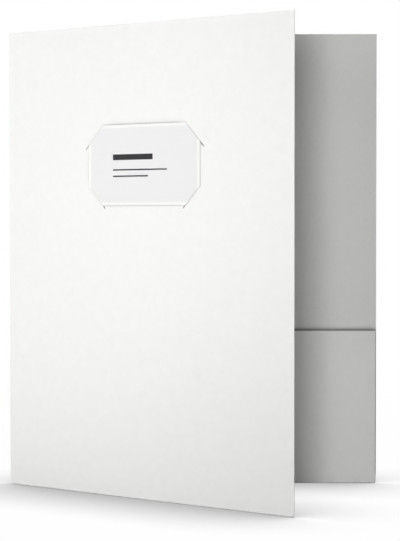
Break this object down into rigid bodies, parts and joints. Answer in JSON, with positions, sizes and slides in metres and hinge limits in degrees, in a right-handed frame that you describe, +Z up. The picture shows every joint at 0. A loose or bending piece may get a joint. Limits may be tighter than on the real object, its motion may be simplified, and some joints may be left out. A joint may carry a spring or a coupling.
{
  "type": "two pocket folder",
  "caption": "White board presentation folder standing half open, with a creased spine, a glued pocket inside each cover and a name card held by corner slits in the front.",
  "frame": {"origin": "on the ground, under the middle of the box around the folder as it stands half open", "axes": "+Z up along the spine, +X along the back cover from the spine to its outer edge, +Y out of the back cover's outside"},
  "size_m": [0.2432, 0.1642, 0.2984],
  "materials": {
    "coated_board": "white coated board, smooth, soft gloss",
    "card_stock": "smooth uncoated card, matte",
    "glue": "dry cream glue, matte"
  },
  "bodies": {
    "back_leaf": {"back_cover": "coated_board", "back_pocket": "coated_board", "back_pocket_fold": "coated_board", "back_glue_tab": "coated_board", "back_tab_fold": "coated_board", "back_glue_strip": "glue"},
    "spine": {"spine": "coated_board", "back_crease": "coated_board", "front_crease": "coated_board"},
    "front_leaf": {"front_cover": "coated_board", "front_pocket": "coated_board", "front_pocket_fold": "coated_board", "front_glue_tab": "coated_board", "front_tab_fold": "coated_board", "front_glue_strip": "glue"},
    "card": {"name_card": "card_stock"}
  },
  "joints": [
    {"name": "front_crease_fold", "type": "hinge", "parent": "spine", "child": "front_leaf", "pos_m": [-0.12139, 0.07735, 0], "axis": [0, 0, -1], "range_deg": [-20.65, 69.35]},
    {"name": "back_crease_fold", "type": "hinge", "parent": "spine", "child": "back_leaf", "pos_m": [-0.11969, 0.08184, 0], "axis": [0, 0, 1], "range_deg": [-20.65, 69.35]},
    {"name": "card_pull", "type": "slide", "parent": "front_leaf", "child": "card", "axis": [-0.66, -0.7513, 0], "range_m": [0, 0.02], "deforming": ["name_card"]}
  ],
  "couplings": [
    {"joint": "back_crease_fold", "follows": "front_crease_fold", "ratio": 1}
  ]
}
